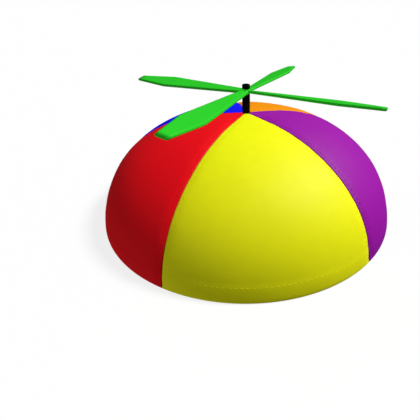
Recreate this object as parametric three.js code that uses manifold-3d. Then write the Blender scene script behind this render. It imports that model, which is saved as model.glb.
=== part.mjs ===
// Propeller beanie: a cap sewn from five cloth gores, and a post at its apex that carries a four-blade propeller.
// Millimetres, +Z up, front towards -Y. The origin is the centre of the rim, on the surface that the cap stands on.
// An angle is measured about +Z from the front, positive towards +X.

import * as THREE from "three";
import { mergeVertices } from "three/addons/utils/BufferGeometryUtils.js";
import Module from "manifold-3d";

const degrees = THREE.MathUtils.degToRad;

// Crown
const rimRadius = 93; // outside of the cloth at the rim
const crownHeight = 60.7; // outside of the cloth at the apex, above the rim
const widestBelowRim = 10.8; // the widest level of the crown's curve lies this far under the rim, so the wall leans in
const crownFullness = 2.24; // exponent of the crown's curve: 2 is an ellipse, and more is fuller at the shoulder
const clothThickness = 2;
const seamAngle = -26.3; // degrees, the seam on the left of the front gore
const seamGap = 0.3; // between the cut edges of two gores
const seamDip = 0.8; // depth of the valley along a seam
const seamDipWidth = 4; // distance from a seam over which its valley rises
const seamDipFade = 20; // the valleys run out to nothing within this radius of the apex

// Post, pin and hub
const fitGap = 0.3; // between pieces that touch or turn on each other
const axleRadius = 1.2; // shaft of the pin
const postWall = 0.8; // round the bore that the pin sits in
const hubWall = 0.9; // round the bore of the hub
const hubShoulder = 0.1; // hub above and below the blade roots
const pinDepth = 8; // length of the pin's shaft inside the post
const pinHeadHeight = 2.35;
const pinHeadBevel = 0.4;
const flangeWidth = 6.7; // hidden flange under the cloth, beyond the post
const flangeThickness = 1.6;

// Propeller
const propellerRise = 12.3; // middle of the blades above the apex of the crown
const bladeReach = 77.5; // axis to blade tip
const bladeHalfWidth = 6.9; // at the widest place
const rootHalfWidth = 2.25; // where the blade meets the axis
const bladeThickness = 1.55;
const bladeEdge = 0.95; // thickness that the chamfers leave at a blade's edge
const bladeChamfer = 1; // width of the chamfers, along the edges and across the tip
const bladePitch = -8.6; // degrees, about the blade's own length
const bladeAngle = -25.8; // degrees, the first blade
const bladeCount = 4;

// Facets
const meridianRows = 14; // along a gore, rim to post
const roundSides = 24; // post, pin and hub

const gores = [
  { name: "panel_yellow", color: 0xf8f81c },
  { name: "panel_purple", color: 0xa42cb0 },
  { name: "panel_orange", color: 0xfb9a17 },
  { name: "panel_blue", color: 0x1c28f4 },
  { name: "panel_red", color: 0xf01c26 },
];

// Places across a gore, as shares of its width, closer together in the valleys at its seams.
const columnShares = [0, 0.02, 0.05, 0.1, 0.18, 0.28, 0.39, 0.5, 0.61, 0.72, 0.82, 0.9, 0.95, 0.98, 1];

// A blade's outline from the axis to its tip. along is a share of bladeReach, and width is how far the half-width
// has grown from rootHalfWidth at 0 to bladeHalfWidth at 1.
const bladeRows = [
  { along: 0, width: 0 },
  { along: 0.701, width: 1 },
  { along: 1, width: 0.17 },
];

// Sizes that follow
const postRadius = axleRadius + fitGap + postWall;
const boreRadius = axleRadius + fitGap;
const hubRadius = boreRadius + hubWall;
const flangeRadius = postRadius + flangeWidth;
const crownHoleRadius = postRadius + fitGap;
const curveHeight = crownHeight + widestBelowRim;
const rimShare = Math.pow(widestBelowRim / curveHeight, crownFullness);
const widestRadius = rimRadius / Math.pow(1 - rimShare, 1 / crownFullness);
const propellerHeight = crownHeight + propellerRise;
const pitch = degrees(bladePitch);
const rootRise = rootHalfWidth * Math.abs(Math.sin(pitch)) + (bladeThickness / 2) * Math.cos(pitch);
const hubHalfHeight = rootRise + hubShoulder;

// The crown's curve is a superellipse. sweep runs from the rim to the apex.
const rimSweep = Math.asin(Math.sqrt(rimShare));
const holeSweep = Math.acos(Math.pow(crownHoleRadius / widestRadius, crownFullness / 2));

function crownPoint(sweep) {
  const radius = widestRadius * Math.pow(Math.cos(sweep), 2 / crownFullness);
  const height = curveHeight * Math.pow(Math.sin(sweep), 2 / crownFullness) - widestBelowRim;
  return new THREE.Vector2(radius, height);
}

function crownNormal(point) {
  const outward = Math.pow(point.x / widestRadius, crownFullness - 1) / widestRadius;
  const upward = Math.pow((point.y + widestBelowRim) / curveHeight, crownFullness - 1) / curveHeight;
  return new THREE.Vector2(outward, upward).normalize();
}

function crownHeightAt(radius) {
  const share = Math.pow(radius / widestRadius, crownFullness);
  return curveHeight * Math.pow(1 - share, 1 / crownFullness) - widestBelowRim;
}

// How far the cloth sinks into the valley of a seam, at a radius and a distance from the seam.
function seamValley(radius, distance) {
  const fade = THREE.MathUtils.smoothstep(radius, 0, seamDipFade);
  return seamDip * fade * Math.exp(-((distance / seamDipWidth) ** 2));
}

function quad(index, a, b, c, d) {
  index.push(a, b, c, a, c, d);
}

function indexedGeometry(points, index) {
  const geometry = new THREE.BufferGeometry().setFromPoints(points);
  geometry.setIndex(index);
  geometry.computeVertexNormals();
  return geometry;
}

// One gore: its outer face, its inner face a cloth thickness inside, and the four cut edges between them. The rim edge
// is flat and level, and the edge at the post is upright.
function goreGeometry(startAngle) {
  const span = (2 * Math.PI) / gores.length;
  const lastColumn = columnShares.length - 1;
  const points = [];
  for (const depth of [0, clothThickness]) {
    for (let row = 0; row <= meridianRows; row++) {
      const curve = crownPoint(THREE.MathUtils.lerp(rimSweep, holeSweep, row / meridianRows));
      let normal = crownNormal(curve);
      if (row === 0) {
        normal = new THREE.Vector2(1, 0);
        curve.y = 0;
      }
      if (row === meridianRows) {
        normal = new THREE.Vector2(0, 1);
      }
      const edge = seamGap / 2 / curve.x;
      for (const share of columnShares) {
        const turn = THREE.MathUtils.lerp(edge, span - edge, share);
        const sink = depth + seamValley(curve.x, curve.x * Math.min(turn, span - turn));
        const radius = curve.x - normal.x * sink;
        const height = curve.y - normal.y * sink;
        const angle = startAngle + turn;
        points.push(new THREE.Vector3(radius * Math.sin(angle), -radius * Math.cos(angle), height));
      }
    }
  }
  const outer = (row, column) => row * columnShares.length + column;
  const inner = (row, column) => outer(row + meridianRows + 1, column);
  const index = [];
  for (let row = 0; row < meridianRows; row++) {
    for (let column = 0; column < lastColumn; column++) {
      quad(index, outer(row, column), outer(row, column + 1), outer(row + 1, column + 1), outer(row + 1, column));
      quad(index, inner(row, column), inner(row + 1, column), inner(row + 1, column + 1), inner(row, column + 1));
    }
    quad(index, outer(row, 0), outer(row + 1, 0), inner(row + 1, 0), inner(row, 0));
    const end = lastColumn;
    quad(index, outer(row + 1, end), outer(row, end), inner(row, end), inner(row + 1, end));
  }
  for (let column = 0; column < lastColumn; column++) {
    const top = meridianRows;
    quad(index, outer(0, column + 1), outer(0, column), inner(0, column), inner(0, column + 1));
    quad(index, outer(top, column), outer(top, column + 1), inner(top, column + 1), inner(top, column));
  }
  return indexedGeometry(points, index);
}

// A turned solid from a profile of [radius, height] pairs that starts and ends on the axis, lowest point first.
function turned(profile) {
  const outline = profile.map(([radius, height]) => new THREE.Vector2(radius, height));
  return new THREE.LatheGeometry(outline, roundSides).rotateX(Math.PI / 2);
}

function postGeometry() {
  const valley = seamValley(flangeRadius, 0);
  const flangeTop = crownHeightAt(flangeRadius) - clothThickness - valley - fitGap;
  const flangeBottom = flangeTop - flangeThickness;
  const postTop = propellerHeight - hubHalfHeight - fitGap;
  const boreFloor = postTop - pinDepth;
  return turned([
    [0, flangeBottom],
    [flangeRadius, flangeBottom],
    [flangeRadius, flangeTop],
    [postRadius, flangeTop],
    [postRadius, postTop],
    [boreRadius, postTop],
    [boreRadius, boreFloor],
    [0, boreFloor],
  ]);
}

function pinGeometry() {
  const headBottom = propellerHeight + hubHalfHeight + fitGap;
  const headTop = headBottom + pinHeadHeight;
  const postTop = propellerHeight - hubHalfHeight - fitGap;
  const pinBottom = postTop - pinDepth + fitGap;
  return turned([
    [0, pinBottom],
    [axleRadius, pinBottom],
    [axleRadius, headBottom],
    [postRadius, headBottom],
    [postRadius, headTop - pinHeadBevel],
    [postRadius - pinHeadBevel, headTop],
    [0, headTop],
  ]);
}

// One blade, flat and level along +X: a loft through its outline's rows, with both edges and the tip chamfered.
function bladeGeometry() {
  const sections = bladeRows.map(({ along, width }) => ({
    reach: Math.min(along * bladeReach, bladeReach - bladeChamfer),
    wide: THREE.MathUtils.lerp(rootHalfWidth, bladeHalfWidth, width),
    thickShare: 1,
  }));
  const tipWide = sections[sections.length - 1].wide;
  sections.push({ reach: bladeReach, wide: tipWide, thickShare: bladeEdge / bladeThickness });
  const points = [];
  for (const { reach, wide, thickShare } of sections) {
    const flat = wide - bladeChamfer;
    const half = (bladeThickness / 2) * thickShare;
    const edge = (bladeEdge / 2) * thickShare;
    const ring = [
      [wide, -edge],
      [wide, edge],
      [flat, half],
      [-flat, half],
      [-wide, edge],
      [-wide, -edge],
      [-flat, -half],
      [flat, -half],
    ];
    for (const [y, z] of ring) {
      points.push(new THREE.Vector3(reach, y, z));
    }
  }
  const sides = points.length / sections.length;
  const lastRing = points.length - sides;
  const index = [];
  for (let row = 0; row < sections.length - 1; row++) {
    for (let side = 0; side < sides; side++) {
      const here = row * sides + side;
      const next = row * sides + ((side + 1) % sides);
      quad(index, here, next, next + sides, here + sides);
    }
  }
  for (let side = 1; side < sides - 1; side++) {
    index.push(0, side + 1, side);
    index.push(lastRing, lastRing + side, lastRing + side + 1);
  }
  return indexedGeometry(points, index);
}

const wasm = await Module();
wasm.setup();

function toSolid(geometry) {
  const bare = geometry.clone();
  bare.deleteAttribute("normal");
  bare.deleteAttribute("uv");
  const merged = mergeVertices(bare);
  const mesh = new wasm.Mesh({
    numProp: 3,
    vertProperties: merged.getAttribute("position").array,
    triVerts: new Uint32Array(merged.index.array),
  });
  return new wasm.Manifold(mesh);
}

function toGeometry(solid) {
  const mesh = solid.getMesh();
  const geometry = new THREE.BufferGeometry();
  geometry.setAttribute("position", new THREE.BufferAttribute(mesh.vertProperties, 3));
  geometry.setIndex(new THREE.BufferAttribute(mesh.triVerts, 1));
  geometry.computeVertexNormals();
  return geometry;
}

// The propeller about its own centre: the hub and the pitched blades in one, with a bore right through.
function propellerGeometry() {
  let solid = toSolid(
    turned([
      [0, -hubHalfHeight],
      [hubRadius, -hubHalfHeight],
      [hubRadius, hubHalfHeight],
      [0, hubHalfHeight],
    ]),
  );
  for (let blade = 0; blade < bladeCount; blade++) {
    const angle = degrees(bladeAngle) + (blade * 2 * Math.PI) / bladeCount;
    const placed = bladeGeometry().rotateX(pitch).rotateZ(angle - Math.PI / 2);
    solid = solid.add(toSolid(placed));
  }
  const through = 2 * hubHalfHeight;
  const bore = turned([
    [0, -through],
    [boreRadius, -through],
    [boreRadius, through],
    [0, through],
  ]);
  return toGeometry(solid.subtract(toSolid(bore)));
}

function cloth(color) {
  return new THREE.MeshStandardMaterial({ color, roughness: 0.85, metalness: 0 });
}

const blackPlastic = new THREE.MeshStandardMaterial({ color: 0x0a0a0a, roughness: 0.45, metalness: 0 });
const greenPlastic = new THREE.MeshStandardMaterial({ color: 0x30d02d, roughness: 0.4, metalness: 0 });

const beanie = new THREE.Group();

function addPiece(parent, name, geometry, material) {
  const mesh = new THREE.Mesh(geometry, material);
  mesh.name = name;
  parent.add(mesh);
  return mesh;
}

gores.forEach(({ name, color }, place) => {
  const startAngle = degrees(seamAngle) + (place * 2 * Math.PI) / gores.length;
  addPiece(beanie, name, goreGeometry(startAngle), cloth(color));
});
addPiece(beanie, "post", postGeometry(), blackPlastic);
addPiece(beanie, "pin", pinGeometry(), blackPlastic);

const rotor = new THREE.Group();
rotor.position.z = propellerHeight;
beanie.add(rotor);
addPiece(rotor, "propeller", propellerGeometry(), greenPlastic);

export default beanie;
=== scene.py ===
"""The looks of a propeller beanie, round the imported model: sewn cloth gores with their seams, hem and
stitches, a turned post and pin, and a moulded propeller, on a pale floor. Metres, +Z up, front towards -Y.
Angles are measured about +Z from the front, positive towards +X, as in the part."""

import math

import bmesh
import bpy
import numpy as np
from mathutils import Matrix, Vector


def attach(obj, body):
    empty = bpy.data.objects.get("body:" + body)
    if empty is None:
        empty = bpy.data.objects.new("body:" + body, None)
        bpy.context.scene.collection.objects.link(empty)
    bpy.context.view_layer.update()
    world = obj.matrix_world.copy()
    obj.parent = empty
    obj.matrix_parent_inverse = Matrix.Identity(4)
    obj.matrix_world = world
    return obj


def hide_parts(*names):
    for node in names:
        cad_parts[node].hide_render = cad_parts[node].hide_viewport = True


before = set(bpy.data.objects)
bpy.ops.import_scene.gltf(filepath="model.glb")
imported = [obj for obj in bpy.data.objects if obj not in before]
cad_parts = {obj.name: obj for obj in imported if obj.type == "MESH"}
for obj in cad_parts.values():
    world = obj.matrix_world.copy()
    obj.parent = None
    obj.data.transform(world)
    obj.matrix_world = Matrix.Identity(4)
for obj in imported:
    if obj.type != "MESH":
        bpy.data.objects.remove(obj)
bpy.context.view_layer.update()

MM = 0.001
HAIR = 0.01 * MM  # less than this apart counts as the same place

# Crown, as in the part
GORES = ("yellow", "purple", "orange", "blue", "red")
SEAM_ANGLE = math.radians(-26.3)  # the seam on the left of the first gore
GORE_SPAN = 2 * math.pi / len(GORES)
WIDEST_BELOW_RIM = 10.8 * MM
CROWN_FULLNESS = 2.24
CLOTH_THICKNESS = 2 * MM
VALLEY_DEPTH = 0.45 * MM  # narrower and less deep than in the part, because the folds of the seam fill it
VALLEY_WIDTH = 3 * MM
VALLEY_FADE = 20 * MM

# Sewing
CLEFT_DEPTH = 0.4 * MM  # the narrow fold where two gores meet
CLEFT_WIDTH = 0.45 * MM
SEAM_CLEARANCE = 0.03 * MM  # between the two gores in the seam
HEM_WIDTH = 11 * MM  # cloth turned up inside the rim
HEM_SWELL = 0.15 * MM  # how far that pushes the outer face out
HEM_TURN = 0.7 * MM  # extra thickness inside, of the turned cloth and of a seam's allowance
ALLOWANCE_WIDTH = 6 * MM
STEP_WIDTH = 0.35 * MM  # how sharply that thickness ends
RIM_ROUND = 0.85 * MM  # a little under half the cloth, which leaves a narrow flat for the cap to stand on
STITCH_PITCH = 2.8 * MM
STITCH_LENGTH = 2.2 * MM
THREAD_RADIUS = 0.19 * MM  # across the cloth, where the pull of the stitch flattens the thread
THREAD_FLATNESS = 0.55  # height of the thread's section, as a share of its width
THREAD_LIFTS = np.array([-1, -0.25, -0.05, 0.05, -0.05, -0.25, -1])  # in radii over the cloth
THREAD_WIDTHS = np.array([0.35, 0.85, 1, 1, 1, 0.85, 0.35])  # in radii, at the same points of a stitch
THREAD_SIDES = 8
SEAM_STITCH_OFFSET = 2.4 * MM  # from the seam to its row of stitches
HEM_STITCH_HEIGHT = 9 * MM  # from the rim to the row of stitches round the hem
STITCH_DENT = 0.1 * MM
STITCH_DENT_WIDTH = 0.6 * MM
STEADY_DENT = 0.65  # share of the dent that runs on evenly between the stitches
STITCHES_END = 11 * MM  # the rows beside the seams stop at this distance from the post's axis
POST_CLEARANCE = 0.06 * MM  # between the cloth and the post

# Unevenness of the cloth: height and wavelength of each sort
PUCKER = {"height": 0.055 * MM, "wavelength": 9 * MM, "reach": 6 * MM}  # beside the seams
SWELL = {"height": 0.1 * MM, "wavelength": 62 * MM}
RIPPLE = {"height": 0.04 * MM, "wavelength": 21 * MM}
NOISE_WAVES = 14  # plane waves in the sum
WAVE_SCALES = (0.7, 1.5)  # their range about the wavelength

# Grid of a gore's mesh
ROWS = 215
COLUMNS = 104
EDGE_CROWDING = 0.8  # 0 spaces the columns evenly, and more draws them towards the seams
RIM_STEPS = 7
CURVE_SAMPLES = 6000  # of the crown's curve, from the rim to the apex


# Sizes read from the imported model
def node_points(node):
    return np.array([corner.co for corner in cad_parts[node].data.vertices])


panel_points = np.concatenate([node_points(f"panel_{colour}") for colour in GORES])
rim_radius = np.hypot(panel_points[:, 0], panel_points[:, 1]).max()
crown_height = panel_points[:, 2].max()

pin_points = node_points("pin")
pin_radii = np.hypot(pin_points[:, 0], pin_points[:, 1])
pin_low, pin_high = pin_points[:, 2].min(), pin_points[:, 2].max()
post_radius = pin_radii.max()
pin_head_low = pin_points[pin_radii > post_radius - HAIR, 2].min()
axle_radius = pin_radii[pin_points[:, 2] < pin_head_low - HAIR].max()

post_points = node_points("post")
post_radii = np.hypot(post_points[:, 0], post_points[:, 1])
post_low, post_high = post_points[:, 2].min(), post_points[:, 2].max()
flange_radius = post_radii.max()
flange_high = post_points[post_radii > flange_radius - HAIR, 2].max()
bore_radius = post_radii[post_points[:, 2] > post_high - HAIR].min()
bore_floor = post_points[abs(post_radii - bore_radius) < HAIR, 2].min()

propeller_points = node_points("propeller")
propeller_height = (propeller_points[:, 2].min() + propeller_points[:, 2].max()) / 2
propeller_radii = np.hypot(propeller_points[:, 0], propeller_points[:, 1])
hub_high = propeller_points[propeller_radii < bore_radius + HAIR, 2].max()
hub_radius = propeller_radii[abs(propeller_points[:, 2] - hub_high) < HAIR].max()

curve_height = crown_height + WIDEST_BELOW_RIM
rim_share = (WIDEST_BELOW_RIM / curve_height) ** CROWN_FULLNESS
widest_radius = rim_radius / (1 - rim_share) ** (1 / CROWN_FULLNESS)

# The crown's curve by its length from the rim.
sweeps = np.linspace(math.asin(math.sqrt(rim_share)), math.pi / 2, CURVE_SAMPLES)
curve_radii = widest_radius * np.cos(sweeps).clip(0) ** (2 / CROWN_FULLNESS)
curve_heights = curve_height * np.sin(sweeps) ** (2 / CROWN_FULLNESS) - WIDEST_BELOW_RIM
curve_steps = np.hypot(np.diff(curve_radii), np.diff(curve_heights))
curve_lengths = np.concatenate([[0], np.cumsum(curve_steps)])


def crown_curve(length):
    """Radius, height and outward normal of the crown's curve, at a length from the rim."""
    radius = np.interp(length, curve_lengths, curve_radii)
    height = np.interp(length, curve_lengths, curve_heights)
    outward = (radius / widest_radius) ** (CROWN_FULLNESS - 1) / widest_radius
    upward = ((height + WIDEST_BELOW_RIM) / curve_height) ** (CROWN_FULLNESS - 1) / curve_height
    size = np.hypot(outward, upward)
    return radius, height, outward / size, upward / size


def length_at(radius):
    """Length from the rim at which the crown's curve has a radius."""
    return np.interp(-radius, -curve_radii, curve_lengths)


def crown_place(length, angle, sink):
    """Points at a length from the rim and an angle, sunk below the crown's curve."""
    radius, height, outward, upward = crown_curve(length)
    radius = radius - outward * sink
    height = height - upward * sink
    return np.stack([radius * np.sin(angle), -radius * np.cos(angle), height], axis=-1)


def crown_normal(length, angle):
    """Outward normals of the crown's curve at a length from the rim and an angle."""
    outward, upward = crown_curve(length)[2:]
    return np.stack([outward * np.sin(angle), -outward * np.cos(angle), upward + 0 * angle], axis=-1)


def smooth_step(value, start, end):
    share = np.clip((value - start) / (end - start), 0, 1)
    return share * share * (3 - 2 * share)


def soft_noise(points, wavelength, seed):
    """A smooth random field of about -1 to 1, a sum of plane waves."""
    rng = np.random.default_rng(seed)
    directions = rng.normal(size=(NOISE_WAVES, 3))
    directions /= np.linalg.norm(directions, axis=1)[:, None]
    scales = rng.uniform(*WAVE_SCALES, size=NOISE_WAVES)
    phases = rng.uniform(0, 2 * math.pi, size=NOISE_WAVES)
    total = np.zeros(points.shape[:-1])
    for direction, scale, phase in zip(directions, scales, phases):
        total += np.sin(points @ direction * (2 * math.pi * scale / wavelength) + phase)
    return total / math.sqrt(NOISE_WAVES)


def stitch_dents(along, across):
    """Dents that a row of stitches pulls into the cloth: deepest where the thread goes in."""
    pull = STEADY_DENT + (1 - STEADY_DENT) * np.cos(2 * math.pi * along / STITCH_PITCH)
    return STITCH_DENT * pull * np.exp(-((across / STITCH_DENT_WIDTH) ** 2))


def outer_sink(length, angle, seam_distance):
    """How far the outer face of the cloth lies below the crown's curve."""
    radius = crown_curve(length)[0]
    fade = smooth_step(radius, 0, VALLEY_FADE)
    sink = VALLEY_DEPTH * fade * np.exp(-((seam_distance / VALLEY_WIDTH) ** 2))
    cleft_fade = smooth_step(radius, 0, VALLEY_FADE / 2)
    sink = sink + CLEFT_DEPTH * cleft_fade * np.exp(-seam_distance / CLEFT_WIDTH)
    sewn = smooth_step(radius, STITCHES_END - STITCH_PITCH, STITCHES_END)
    sink = sink + sewn * stitch_dents(length, seam_distance - SEAM_STITCH_OFFSET)
    sink = sink + stitch_dents(angle * rim_radius, length - HEM_STITCH_HEIGHT)
    places = crown_place(length, angle, 0 * length)
    beside_seam = np.exp(-((seam_distance / PUCKER["reach"]) ** 2)) * fade
    sink = sink + PUCKER["height"] * soft_noise(places, PUCKER["wavelength"], seed=5) * beside_seam
    sink = sink + SWELL["height"] * soft_noise(places, SWELL["wavelength"], seed=11)
    sink = sink + RIPPLE["height"] * soft_noise(places, RIPPLE["wavelength"], seed=17) * fade
    sink = sink - HEM_SWELL * (1 - smooth_step(length, HEM_STITCH_HEIGHT, HEM_WIDTH))
    return sink * smooth_step(length, 0, 3 * RIM_ROUND)


def rim_rounding(length):
    """How far the round lower edge draws in, at a length from the rim."""
    rise = np.clip(1 - length / RIM_ROUND, 0, 1)
    return RIM_ROUND * (1 - np.sqrt(1 - rise**2))


def gore_angles(radius, shares):
    edge = SEAM_CLEARANCE / radius
    return edge + (GORE_SPAN - 2 * edge) * shares


def column_shares():
    even = np.linspace(0, 1, COLUMNS + 1)
    return even - EDGE_CROWDING * np.sin(2 * math.pi * even) / (2 * math.pi)


def row_lengths():
    """Lengths from the rim of a gore's rows: close together round the lower edge, and even above it."""
    turn = RIM_ROUND * (1 - np.cos(np.linspace(0, math.pi / 2, RIM_STEPS)))
    top = length_at(post_radius + POST_CLEARANCE)
    return np.concatenate([turn, np.linspace(RIM_ROUND, top, ROWS)[1:]])


def new_mesh(name, points, faces, attributes=None):
    mesh = bpy.data.meshes.new(name)
    mesh.from_pydata(np.asarray(points).reshape(-1, 3).tolist(), [], faces)
    for key, values in (attributes or {}).items():
        layer = mesh.attributes.new(key, "FLOAT_VECTOR", "POINT")
        layer.data.foreach_set("vector", np.asarray(values, dtype=np.float32).ravel())
    mesh.polygons.foreach_set("use_smooth", [True] * len(mesh.polygons))
    mesh.validate()
    mesh.update()
    piece = bpy.data.objects.new(name, mesh)
    bpy.context.collection.objects.link(piece)
    return piece


def place_piece(piece, body, slot, material, *nodes):
    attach(piece, body)
    if nodes:
        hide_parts(*nodes)
    piece.data.materials.append(material)


def shell_faces(rows, columns):
    """Faces of a closed shell from two grids of points, the outer one first."""
    inner = rows * columns
    here = (np.arange(rows - 1)[:, None] * columns + np.arange(columns - 1)[None, :]).ravel()
    outside = np.stack([here, here + 1, here + 1 + columns, here + columns], axis=1)
    inside = np.stack([here, here + columns, here + 1 + columns, here + 1], axis=1) + inner
    across = np.arange(columns - 1)
    top = (rows - 1) * columns + across
    low_edge = np.stack([across + 1, across, across + inner, across + 1 + inner], axis=1)
    top_edge = np.stack([top, top + 1, top + 1 + inner, top + inner], axis=1)
    up = np.arange(rows - 1) * columns
    end = up + columns - 1
    start_edge = np.stack([up, up + columns, up + columns + inner, up + inner], axis=1)
    end_edge = np.stack([end + columns, end, end + inner, end + columns + inner], axis=1)
    return np.concatenate([outside, inside, low_edge, top_edge, start_edge, end_edge]).tolist()


def make_gore(colour, start_angle, material):
    lengths = row_lengths()[:, None]
    radius = crown_curve(lengths)[0]
    turns = gore_angles(radius, column_shares()[None, :])
    angles = start_angle + turns
    lengths = lengths + 0 * turns
    seam_distance = radius * np.minimum(turns, GORE_SPAN - turns)
    rounding = rim_rounding(lengths)
    sink = outer_sink(lengths, angles, seam_distance)
    outer = crown_place(lengths, angles, sink + rounding)
    allowance = 1 - smooth_step(seam_distance, ALLOWANCE_WIDTH, ALLOWANCE_WIDTH + STEP_WIDTH)
    hem = 1 - smooth_step(lengths, HEM_WIDTH, HEM_WIDTH + STEP_WIDTH)
    turned = HEM_TURN * np.maximum(allowance, hem) * smooth_step(lengths, 0, RIM_ROUND * 2)
    inner = crown_place(lengths, angles, sink + CLOTH_THICKNESS + turned - rounding)
    for grid in (outer, inner):
        grid[..., 2] = np.where(lengths < RIM_ROUND, grid[..., 2].clip(0), grid[..., 2])
        grid[0, :, 2] = 0
    middle = radius * (turns - GORE_SPAN / 2)
    # the third value is the distance from the seam, which sets the cloth's painted seam shade
    weave = np.stack([middle, lengths, seam_distance], axis=-1)
    points = np.concatenate([outer.reshape(-1, 3), inner.reshape(-1, 3)])
    weaves = np.concatenate([weave.reshape(-1, 3)] * 2)
    piece = new_mesh(f"gore_{colour}", points, shell_faces(*turns.shape), {"weave": weaves})
    place_piece(piece, "crown", f"cloth_{colour}", material, f"panel_{colour}")


def stitch_courses(start_angle):
    """Each stitch along a gore's seams and hem: its lengths from the rim, angles and seam distances."""
    spread = np.linspace(-0.5, 0.5, len(THREAD_LIFTS)) * STITCH_LENGTH
    for start in np.arange(HEM_STITCH_HEIGHT + STITCH_PITCH, length_at(STITCHES_END), STITCH_PITCH):
        lengths = start + spread
        turn = SEAM_STITCH_OFFSET / crown_curve(lengths)[0]
        for turns in (turn, GORE_SPAN - turn):
            yield lengths, start_angle + turns, SEAM_STITCH_OFFSET + 0 * lengths
    hem_radius = crown_curve(HEM_STITCH_HEIGHT)[0]
    first = SEAM_STITCH_OFFSET + STITCH_PITCH / 2
    for start in np.arange(first, hem_radius * GORE_SPAN - first, STITCH_PITCH):
        turns = (start + spread) / hem_radius
        distance = hem_radius * np.minimum(turns, GORE_SPAN - turns)
        yield HEM_STITCH_HEIGHT + 0 * spread, start_angle + turns, distance


def make_stitches(colour, start_angle, material):
    """A gore's thread, as one joined mesh of short stitches whose ends sink into the cloth."""
    points, faces = [], []
    for lengths, angles, distance in stitch_courses(start_angle):
        sink = outer_sink(lengths, angles, distance) - THREAD_RADIUS * THREAD_LIFTS
        centre = crown_place(lengths, angles, sink)
        add_thread(points, faces, centre, crown_normal(lengths, angles))
    piece = new_mesh(f"stitches_{colour}", np.array(points), faces)
    place_piece(piece, "crown", f"cloth_{colour}", material)


def add_thread(points, faces, centre, normals):
    """Adds one stitch, a closed and flattened tube along the centre points."""
    forward = np.gradient(centre, axis=0)
    forward /= np.linalg.norm(forward, axis=1)[:, None]
    across = np.cross(normals, forward)
    across /= np.linalg.norm(across, axis=1)[:, None]
    other = np.cross(forward, across) * THREAD_FLATNESS
    turns = np.linspace(0, 2 * math.pi, THREAD_SIDES, endpoint=False)
    base = len(points)
    for place, first, second, radius in zip(centre, across, other, THREAD_RADIUS * THREAD_WIDTHS):
        for turn in turns:
            points.append(place + radius * (math.cos(turn) * first + math.sin(turn) * second))
    for ring in range(len(centre) - 1):
        for side in range(THREAD_SIDES):
            here = base + ring * THREAD_SIDES + side
            beside = base + ring * THREAD_SIDES + (side + 1) % THREAD_SIDES
            faces.append((here, beside, beside + THREAD_SIDES, here + THREAD_SIDES))
    last = base + (len(centre) - 1) * THREAD_SIDES
    faces.append(tuple(base + side for side in reversed(range(THREAD_SIDES))))
    faces.append(tuple(last + side for side in range(THREAD_SIDES)))


# Post and pin
SMALL_ROUND = 0.35 * MM
ROUND_SHARE = 0.4  # of the shorter side beside a corner, the most that its arc takes
ARC_SHARES = (0, 0.25, 0.5, 0.75, 1)  # the points of an arc
TURNED_SIDES = 96


def rounded(profile, corner):
    """A turned profile, in rows of (radius, height), with a small arc at each corner between its ends."""
    rounded_profile = [profile[0]]
    for before, here, after in zip(profile, profile[1:], profile[2:]):
        place = Vector(here)
        back, ahead = Vector(before) - place, Vector(after) - place
        reach = min(corner, ROUND_SHARE * back.length, ROUND_SHARE * ahead.length)
        start, end = place + back.normalized() * reach, place + ahead.normalized() * reach
        for share in ARC_SHARES:
            curved = start * (1 - share) ** 2 + place * 2 * share * (1 - share) + end * share**2
            rounded_profile.append(tuple(curved))
    rounded_profile.append(profile[-1])
    return rounded_profile


def turned_mesh(name, profile):
    """A turned solid. The profile starts and ends on the axis, lowest point first."""
    turns = np.linspace(0, 2 * math.pi, TURNED_SIDES, endpoint=False)
    points = [(0, 0, profile[0][1])]
    for radius, height in profile[1:-1]:
        points.extend((radius * math.cos(turn), radius * math.sin(turn), height) for turn in turns)
    points.append((0, 0, profile[-1][1]))
    faces = []
    rings = len(profile) - 2
    for side in range(TURNED_SIDES):
        beside = (side + 1) % TURNED_SIDES
        faces.append((0, 1 + beside, 1 + side))
        for ring in range(rings - 1):
            low = 1 + ring * TURNED_SIDES
            high = low + TURNED_SIDES
            faces.append((low + side, low + beside, high + beside, high + side))
        top = 1 + (rings - 1) * TURNED_SIDES
        faces.append((top + side, top + beside, len(points) - 1))
    return new_mesh(name, points, faces)


def make_post(material):
    profile = [
        (0, post_low),
        (flange_radius, post_low),
        (flange_radius, flange_high),
        (post_radius, flange_high),
        (post_radius, post_high),
        (bore_radius, post_high),
        (bore_radius, bore_floor),
        (0, bore_floor),
    ]
    piece = turned_mesh("post_turned", rounded(profile, SMALL_ROUND))
    piece.visible_shadow = False
    place_piece(piece, "crown", "black_plastic", material, "post")


def make_pin(material):
    profile = [
        (0, pin_low),
        (axle_radius, pin_low),
        (axle_radius, pin_head_low),
        (post_radius, pin_head_low),
        (post_radius, pin_high),
        (0, pin_high),
    ]
    piece = turned_mesh("pin_turned", rounded(profile, SMALL_ROUND))
    piece.visible_shadow = False
    place_piece(piece, "crown", "black_plastic", material, "pin")


# Propeller: the outline and the angles as in the part
BLADES = 4
BLADE_ANGLE = math.radians(-25.8)
BLADE_PITCH = math.radians(-8.6)
ROOT_HALF_WIDTH = 2.25 * MM
BLADE_EDGE = 0.75 * MM  # height of a blade's upright sides
SOFT_EDGE = 1.1 * MM  # width of the round between a side and the face above or below it
TIP_ROUND = 1.4 * MM  # length of the round at the tip
SOFT_TIP = 3.2 * MM  # and of the shading that leads into it
FULL_TURN = math.radians(65)  # how far the shading turns from a face to the upright side beside it
TIP_CORNER = 0.3 * MM
OUTLINE_SHARES = (0, 0.701, 1)  # of the reach
OUTLINE_WIDTHS = (0, 1, 0.17)  # from the root's half-width to the widest
CORNER_SHARE = 0.012  # of the reach, over which the outline's widest corner is rounded
BLADE_STEPS = 90  # sections along a blade, up to the round at its tip
TIP_STEPS = 8
EDGE_STEPS = 6  # across the soft round at an edge
SOFTENED_FROM = 1.05  # hub radii from the axis
SHARP_ANGLE = math.radians(38)


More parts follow.
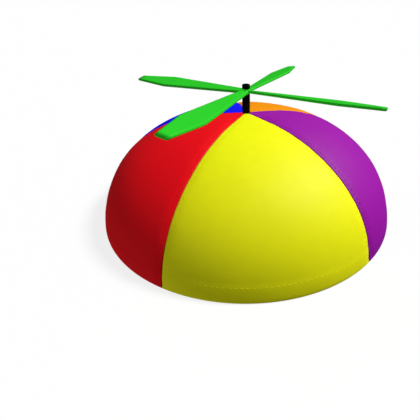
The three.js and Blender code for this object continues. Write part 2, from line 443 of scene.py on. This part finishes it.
def blade_axes(angle):
    """Unit vectors along a blade, across it and out of its upper face."""
    sine, cosine = math.sin(BLADE_PITCH), math.cos(BLADE_PITCH)
    level = np.array([math.cos(angle), math.sin(angle), 0])
    upright = np.array([0, 0, 1])
    along = np.array([math.sin(angle), -math.cos(angle), 0])
    return along, level * cosine + upright * sine, upright * cosine - level * sine


centred_points = propeller_points - [0, 0, propeller_height]
along, across, up = (centred_points @ axis for axis in blade_axes(BLADE_ANGLE))
first_blade = along > abs(across)
blade_reach = along[first_blade].max()
blade_half_width = abs(across[first_blade]).max()
blade_half_thickness = abs(up[first_blade & (along > blade_reach / 2)]).max()


def blade_outline(share):
    """Half-width of a blade at a share of its reach, with the outline's widest corner rounded a little."""
    nearby = np.clip(share + CORNER_SHARE * np.array([-1, 0, 1]), 0, 1)
    widths = np.interp(nearby, OUTLINE_SHARES, OUTLINE_WIDTHS)
    return ROOT_HALF_WIDTH + widths @ [0.25, 0.5, 0.25] * (blade_half_width - ROOT_HALF_WIDTH)


def blade_ring(half_width, half_thickness):
    """Section of a blade as (across, up) pairs: flat faces, upright sides, and soft rounds between."""
    flat = half_width - SOFT_EDGE
    side = BLADE_EDGE / 2
    rise = half_thickness - side
    turns = np.linspace(0, math.pi / 2, EDGE_STEPS)
    right = [(flat + SOFT_EDGE * math.sin(turn), -side - rise * math.cos(turn)) for turn in turns]
    right += [(flat + SOFT_EDGE * math.cos(turn), side + rise * math.sin(turn)) for turn in turns]
    right += [(flat * share, half_thickness) for share in (0.5, 0, -0.5)]
    return right + [(-across, -up) for across, up in right]


def blade_sections():
    """Distance along the blade, half-width and half-thickness of each section, from the axis to the tip."""
    for reach in np.linspace(0, blade_reach - TIP_ROUND, BLADE_STEPS):
        yield reach, blade_outline(reach / blade_reach), blade_half_thickness
    rise = blade_half_thickness - BLADE_EDGE / 2
    for turn in np.linspace(0, math.pi / 2, TIP_STEPS)[1:]:
        reach = blade_reach - TIP_ROUND * (1 - math.sin(turn))
        half_width = blade_outline(reach / blade_reach) - TIP_CORNER * (1 - math.cos(turn))
        yield reach, half_width, BLADE_EDGE / 2 + rise * math.cos(turn)


def blade_mesh(name, angle):
    """One blade, pitched about its own length and turned to its place."""
    along_axis, across_axis, up_axis = blade_axes(angle)
    centre = np.array([0, 0, propeller_height])
    points = []
    for reach, half_width, half_thickness in blade_sections():
        ring = blade_ring(half_width, half_thickness)
        points += [centre + along_axis * reach + across_axis * across + up_axis * up for across, up in ring]
    sides = len(ring)
    last = len(points) - sides
    faces = [tuple(reversed(range(sides))), tuple(range(last, len(points)))]
    for row in range(0, last, sides):
        for side in range(sides):
            here, beside = row + side, row + (side + 1) % sides
            faces.append((here, beside, beside + sides, here + sides))
    return new_mesh(name, points, faces)


def soften_blades(mesh):
    """Turns the shading over the blades' edges and tips, as in fuller rounds than the thin blades have."""
    centre = np.array([0, 0, propeller_height])
    axes = [blade_axes(BLADE_ANGLE + blade * 2 * math.pi / BLADES) for blade in range(BLADES)]
    points = np.array([corner.co for corner in mesh.vertices]) - centre
    normals = np.array([corner.vector for corner in mesh.corner_normals])
    for face in mesh.polygons:
        middle = np.array(face.center) - centre
        if math.hypot(middle[0], middle[1]) < SOFTENED_FROM * hub_radius:
            continue
        along_axis, across_axis, up_axis = max(axes, key=lambda blade: middle @ blade[0])
        corners = points[list(face.vertices)]
        along, across, up = corners @ along_axis, corners @ across_axis, corners @ up_axis
        beyond = (1 - (blade_reach - along) / SOFT_TIP).clip(0, 1)
        width = np.array([blade_outline(share) for share in along / blade_reach])
        beside = (1 - (width - abs(across)) / SOFT_EDGE).clip(0, 1) * np.sign(across)
        outward = np.outer(beyond, along_axis) + np.outer(beside, across_axis)
        turn = np.hypot(beyond, beside).clip(0, 1) * FULL_TURN
        outward /= np.linalg.norm(outward, axis=1).clip(1e-9)[:, None]
        upright = np.outer(np.sign(up), up_axis)
        normals[list(face.loop_indices)] = outward * np.sin(turn)[:, None] + upright * np.cos(turn)[:, None]
    mesh.normals_split_custom_set(normals.tolist())


def combine(piece, other, operation):
    """Joins another solid to a piece, or cuts it out, and removes the other."""
    modifier = piece.modifiers.new("combine", "BOOLEAN")
    modifier.operation = operation
    modifier.solver = "EXACT"
    modifier.object = other
    evaluated = piece.evaluated_get(bpy.context.evaluated_depsgraph_get())
    mesh = bpy.data.meshes.new_from_object(evaluated)
    piece.modifiers.clear()
    piece.data = mesh
    bpy.data.objects.remove(other)


def merge_close_points(mesh):
    """Merges the points that the joins left in almost the same place, with the slivers between them."""
    work = bmesh.new()
    work.from_mesh(mesh)
    bmesh.ops.remove_doubles(work, verts=work.verts, dist=HAIR)
    bmesh.ops.dissolve_degenerate(work, edges=work.edges, dist=HAIR)
    bmesh.ops.triangulate(work, faces=[face for face in work.faces if len(face.verts) > 4])
    work.to_mesh(mesh)
    work.free()


def make_propeller(material):
    hub_low = 2 * propeller_height - hub_high
    profile = [(0, hub_low), (hub_radius, hub_low), (hub_radius, hub_high), (0, hub_high)]
    piece = turned_mesh("propeller_moulded", rounded(profile, SMALL_ROUND))
    for blade in range(BLADES):
        angle = BLADE_ANGLE + blade * 2 * math.pi / BLADES
        combine(piece, blade_mesh(f"blade_{blade}", angle), "UNION")
    over = hub_high - hub_low
    bore_low, bore_high = hub_low - over, hub_high + over
    bore = [(0, bore_low), (bore_radius, bore_low), (bore_radius, bore_high), (0, bore_high)]
    combine(piece, turned_mesh("bore", bore), "DIFFERENCE")
    merge_close_points(piece.data)
    piece.data.shade_smooth()
    piece.data.set_sharp_from_angle(angle=SHARP_ANGLE)
    soften_blades(piece.data)
    piece.visible_shadow = False
    place_piece(piece, "rotor", "green_plastic", material, "propeller")


# Materials
def linear(colour):
    """Linear light from an 8-bit sRGB colour."""
    shares = [part / 255 for part in colour]
    return [part / 12.92 if part <= 0.04045 else ((part + 0.055) / 1.055) ** 2.4 for part in shares] + [1]


class Nodes:
    """A small helper round one material's node tree."""

    def __init__(self, name):
        self.material = bpy.data.materials.new(name)
        self.material.use_nodes = True
        self.tree = self.material.node_tree
        self.shader = self.tree.nodes["Principled BSDF"]

    def add(self, kind, inputs=None, **settings):
        node = self.tree.nodes.new(kind)
        for key, value in settings.items():
            setattr(node, key, value)
        for key, value in (inputs or {}).items():
            if isinstance(value, bpy.types.NodeSocket):
                self.tree.links.new(value, node.inputs[key])
            else:
                node.inputs[key].default_value = value
        return node

    def math(self, operation, first, second=0.0, third=0.0):
        return self.add("ShaderNodeMath", {0: first, 1: second, 2: third}, operation=operation).outputs[0]

    def spread(self, value, width, middle=1.0):
        """A value of 0 to 1 spread over a width about a middle."""
        return self.math("MULTIPLY_ADD", self.math("SUBTRACT", value, 0.5), width, middle)

    def ramp(self, value, low, high, start, end):
        inputs = {"Value": value, "From Min": low, "From Max": high, "To Min": start, "To Max": end}
        return self.add("ShaderNodeMapRange", inputs).outputs["Result"]

    def shaded(self, colour, light):
        """A colour times a grey level."""
        grey = self.add("ShaderNodeCombineColor", {0: light, 1: light, 2: light}).outputs[0]
        inputs = {0: 1.0, 6: colour, 7: grey}
        return self.add("ShaderNodeMix", inputs, data_type="RGBA", blend_type="MULTIPLY").outputs[2]

    def noise(self, vector, scale, detail=2.0, roughness=0.5):
        inputs = {"Vector": vector, "Scale": scale, "Detail": detail, "Roughness": roughness}
        return self.add("ShaderNodeTexNoise", inputs).outputs["Fac"]

    def set(self, **values):
        for key, value in values.items():
            self.shader.inputs[key.replace("_", " ")].default_value = value

    def link(self, socket, key):
        self.tree.links.new(socket, self.shader.inputs[key])

    def bump(self, height, strength, distance):
        inputs = {"Height": height, "Strength": strength, "Distance": distance}
        return self.add("ShaderNodeBump", inputs).outputs["Normal"]


CLOTH_COLOURS = {
    "yellow": (250, 250, 14),
    "purple": (158, 18, 167),
    "orange": (254, 152, 4),
    "blue": (8, 18, 254),
    "red": (250, 8, 24),
}
DIAGONAL_BANDS = 0.444  # a diagonal wave texture of scale 1 has its bands this far apart
STRAIGHT_BANDS = 0.314
RIB_PITCH = 0.7 * MM
YARN_PITCH = 0.45 * MM
RIB_HEIGHT = 0.035 * MM
YARN_SHARE = 0.35  # of a rib's height
FIBRE_SHARE = 0.6
RIB_SHADE = 0.05  # how far the ribs, slubs and patches spread the colour's brightness: on the ribs a painted shade, lighter on their crests and darker in their grooves; on the slubs and patches the cloth's own uneven tone
SLUB_SHADE = 0.07
PATCH_SHADE = 0.05
PAINTED_SEAM_SHADE = 0.72  # painted shade in a seam: the share of the colour's brightness left down in it
PAINTED_SEAM_SHADE_WIDTH = 0.7 * MM
DRIFT = 1.2 * MM  # how far the ribs and yarns wander
THREAD_SHADE = 0.96
THREAD_FIBRE_SHADE = 0.2
THREAD_FIBRE_HEIGHT = 0.05 * MM

# Plastics
CLOUD_SHADE = 0.12
CLOUD_DULLNESS = 0.2  # how far the clouds and marks spread the roughness
MARK_DULLNESS = 0.12
PEEL_HEIGHT = 0.02 * MM
PLASTIC_GLOSS = 0.07
BLACK = {"colour": (3, 3, 3), "roughness": 0.5}
GREEN = {"colour": (45, 207, 43), "roughness": 0.45}

# Scales of the noises in the materials: more is finer
DRIFT_SCALE = 90
FIBRE_SCALE = 2600
SLUB_SCALE = 240
PATCH_SCALE = 28
THREAD_SCALE = 3200
CLOUD_SCALE = 60
PEEL_SCALE = 900
MARK_SCALE = 2600
GRAIN_SCALE = 40

FLOOR_GREY = 0.16
FLOOR_GLOW = 0.83


def cloth_material(colour):
    """Twill: diagonal ribs of fine yarns with a little fuzz, with painted shade in the grooves between the
    ribs and down in the seams.
    """
    nodes = Nodes(f"cloth_{colour}")
    base = linear(CLOTH_COLOURS[colour])
    weave = nodes.add("ShaderNodeAttribute", attribute_name="weave").outputs["Vector"]
    split = nodes.add("ShaderNodeSeparateXYZ", {0: weave})
    flat = nodes.add("ShaderNodeCombineXYZ", {0: split.outputs["X"], 1: split.outputs["Y"]}).outputs[0]
    drift = nodes.spread(nodes.noise(flat, DRIFT_SCALE), DRIFT, middle=0.0)
    shifted = nodes.add("ShaderNodeVectorMath", {0: flat, 1: drift}, operation="ADD").outputs[0]
    rib_inputs = {"Vector": shifted, "Scale": DIAGONAL_BANDS / RIB_PITCH}
    ribs = nodes.add("ShaderNodeTexWave", rib_inputs, bands_direction="DIAGONAL").outputs["Fac"]
    yarn_inputs = {"Vector": shifted, "Scale": STRAIGHT_BANDS / YARN_PITCH}
    yarns = nodes.add("ShaderNodeTexWave", yarn_inputs, bands_direction="X").outputs["Fac"]
    fibres = nodes.noise(flat, FIBRE_SCALE, detail=3)
    slubs = nodes.noise(flat, SLUB_SCALE)
    patches = nodes.noise(flat, PATCH_SCALE)
    height = nodes.math("MULTIPLY_ADD", yarns, YARN_SHARE, ribs)
    height = nodes.math("MULTIPLY_ADD", fibres, FIBRE_SHARE, height)
    nodes.link(nodes.bump(height, 1.0, RIB_HEIGHT), "Normal")
    # painted shade: the colour follows the ribs' height, darker in their grooves
    light = nodes.spread(ribs, RIB_SHADE)
    light = nodes.math("ADD", light, nodes.spread(slubs, SLUB_SHADE, middle=0.0))
    light = nodes.math("ADD", light, nodes.spread(patches, PATCH_SHADE, middle=0.0))
    # painted shade: the colour is darker within a narrow width of each seam
    painted_seam_shade = nodes.ramp(split.outputs["Z"], 0, PAINTED_SEAM_SHADE_WIDTH, PAINTED_SEAM_SHADE, 1)
    light = nodes.math("MULTIPLY", light, painted_seam_shade)
    nodes.link(nodes.shaded(base, light), "Base Color")
    nodes.link(nodes.ramp(fibres, 0.3, 0.7, 0.46, 0.58), "Roughness")
    nodes.set(Specular_IOR_Level=0.15, Sheen_Weight=0.01, Sheen_Roughness=0.4, Sheen_Tint=base)
    return nodes.material


def thread_material(colour):
    """Spun thread, a shade darker than the cloth it is sewn into."""
    nodes = Nodes(f"thread_{colour}")
    place = nodes.add("ShaderNodeTexCoord").outputs["Object"]
    fibres = nodes.noise(place, THREAD_SCALE)
    light = nodes.spread(fibres, THREAD_FIBRE_SHADE, middle=THREAD_SHADE)
    nodes.link(nodes.shaded(linear(CLOTH_COLOURS[colour]), light), "Base Color")
    nodes.link(nodes.bump(fibres, 0.5, THREAD_FIBRE_HEIGHT), "Normal")
    nodes.set(Roughness=0.7, Specular_IOR_Level=0.1)
    return nodes.material


def plastic_material(name, colour, roughness):
    """Moulded plastic: a faint orange peel, soft cloudy gloss and fine handling marks."""
    nodes = Nodes(name)
    place = nodes.add("ShaderNodeTexCoord").outputs["Object"]
    clouds = nodes.noise(place, CLOUD_SCALE, detail=3)
    peel = nodes.noise(place, PEEL_SCALE, detail=1)
    marks = nodes.noise(place, MARK_SCALE, detail=4, roughness=0.7)
    nodes.link(nodes.shaded(linear(colour), nodes.spread(clouds, CLOUD_SHADE)), "Base Color")
    dull = nodes.spread(clouds, CLOUD_DULLNESS, middle=roughness)
    dull = nodes.math("ADD", dull, nodes.spread(marks, MARK_DULLNESS, middle=0.0))
    nodes.link(dull, "Roughness")
    nodes.link(nodes.bump(peel, 0.5, PEEL_HEIGHT), "Normal")
    nodes.set(Specular_IOR_Level=PLASTIC_GLOSS)
    return nodes.material


def floor_material():
    """A matt floor that glows, so that it comes out as pale as paper."""
    nodes = Nodes("studio_floor")
    place = nodes.add("ShaderNodeTexCoord").outputs["Object"]
    grain = nodes.noise(place, GRAIN_SCALE, detail=3)
    nodes.link(nodes.ramp(grain, 0.3, 0.7, 0.75, 0.85), "Roughness")
    nodes.set(Base_Color=(FLOOR_GREY, FLOOR_GREY, FLOOR_GREY, 1), Specular_IOR_Level=0)
    nodes.set(Emission_Color=(1, 1, 1, 1), Emission_Strength=FLOOR_GLOW)
    return nodes.material


# Studio
FLOOR_SIZE = 60  # metres, so that the floor fills the view
KEY_DIRECTION = Vector((0.617, 0.123, 0.778))  # towards the light
KEY_STRENGTH = 3.73
KEY_ANGLE = math.radians(14)
CARD_DIRECTION = Vector((-0.873, -0.374, -0.313))  # as off a pale card low on the left
CARD_STRENGTH = 0.84
CARD_ANGLE = math.radians(50)
FILL = 0.11  # even light from all round
MIRRORED = 0.2  # share of the fill that gloss picks up
BACKDROP = 1.0  # what the camera sees past the floor


def make_floor():
    half = FLOOR_SIZE / 2
    corners = [(-half, -half, 0), (half, -half, 0), (half, half, 0), (-half, half, 0)]
    floor = new_mesh("floor", corners, [(0, 1, 2, 3)])
    floor.data.materials.append(floor_material())
    floor.visible_diffuse = False
    floor.visible_glossy = False
    floor.visible_shadow = False


def make_lamp(name, direction, strength, angle):
    light = bpy.data.lights.new(name, "SUN")
    light.energy = strength
    light.angle = angle
    lamp = bpy.data.objects.new(name, light)
    lamp.rotation_euler = direction.to_track_quat("Z", "Y").to_euler()
    bpy.context.collection.objects.link(lamp)
    return lamp


def make_surroundings():
    """An even fill for all that the surroundings light, and the backdrop where the camera sees them."""
    world = bpy.data.worlds.new("studio")
    world.use_nodes = True
    bpy.context.scene.world = world
    tree = world.node_tree
    background = tree.nodes["Background"]
    background.inputs["Color"].default_value = (1, 1, 1, 1)
    path = tree.nodes.new("ShaderNodeLightPath")
    fill = tree.nodes.new("ShaderNodeMapRange")
    fill.inputs["To Min"].default_value = FILL
    fill.inputs["To Max"].default_value = FILL * MIRRORED
    tree.links.new(path.outputs["Is Glossy Ray"], fill.inputs["Value"])
    level = tree.nodes.new("ShaderNodeMapRange")
    level.inputs["To Max"].default_value = BACKDROP
    tree.links.new(path.outputs["Is Camera Ray"], level.inputs["Value"])
    tree.links.new(fill.outputs["Result"], level.inputs["To Min"])
    tree.links.new(level.outputs["Result"], background.inputs["Strength"])


# Camera, from the photograph: the rim, the seams and the blade tips fix where it stood
IMAGE_SIDE = 420
FOCAL_PIXELS = 325
AXIS_PIXEL_X = 249.1
SENSOR = 36  # millimetres
CAMERA_PLACE = Vector((0.019, -2.080, 1.3165))  # in rim radii
CAMERA_DIP = math.radians(34.4)
CLIP_START = 0.005


def make_camera():
    camera = bpy.data.cameras.new("camera")
    camera.sensor_width = SENSOR
    camera.lens = FOCAL_PIXELS / IMAGE_SIDE * SENSOR
    camera.shift_x = (IMAGE_SIDE / 2 - AXIS_PIXEL_X) / IMAGE_SIDE
    camera.clip_start = CLIP_START
    camera.clip_end = 2 * FLOOR_SIZE
    holder = bpy.data.objects.new("camera", camera)
    holder.location = CAMERA_PLACE * rim_radius
    holder.rotation_euler = (math.pi / 2 - CAMERA_DIP, 0, 0)
    bpy.context.collection.objects.link(holder)
    bpy.context.scene.camera = holder


make_camera()
make_lamp("key", KEY_DIRECTION, KEY_STRENGTH, KEY_ANGLE)
card = make_lamp("card", CARD_DIRECTION, CARD_STRENGTH, CARD_ANGLE)
card.visible_glossy = False
make_surroundings()
make_floor()
for place, colour in enumerate(GORES):
    start_angle = SEAM_ANGLE + place * GORE_SPAN
    make_gore(colour, start_angle, cloth_material(colour))
    make_stitches(colour, start_angle, thread_material(colour))
black = plastic_material("black_plastic", **BLACK)
make_post(black)
make_pin(black)
make_propeller(plastic_material("green_plastic", **GREEN))

bpy.context.scene.view_settings.view_transform = "Standard"
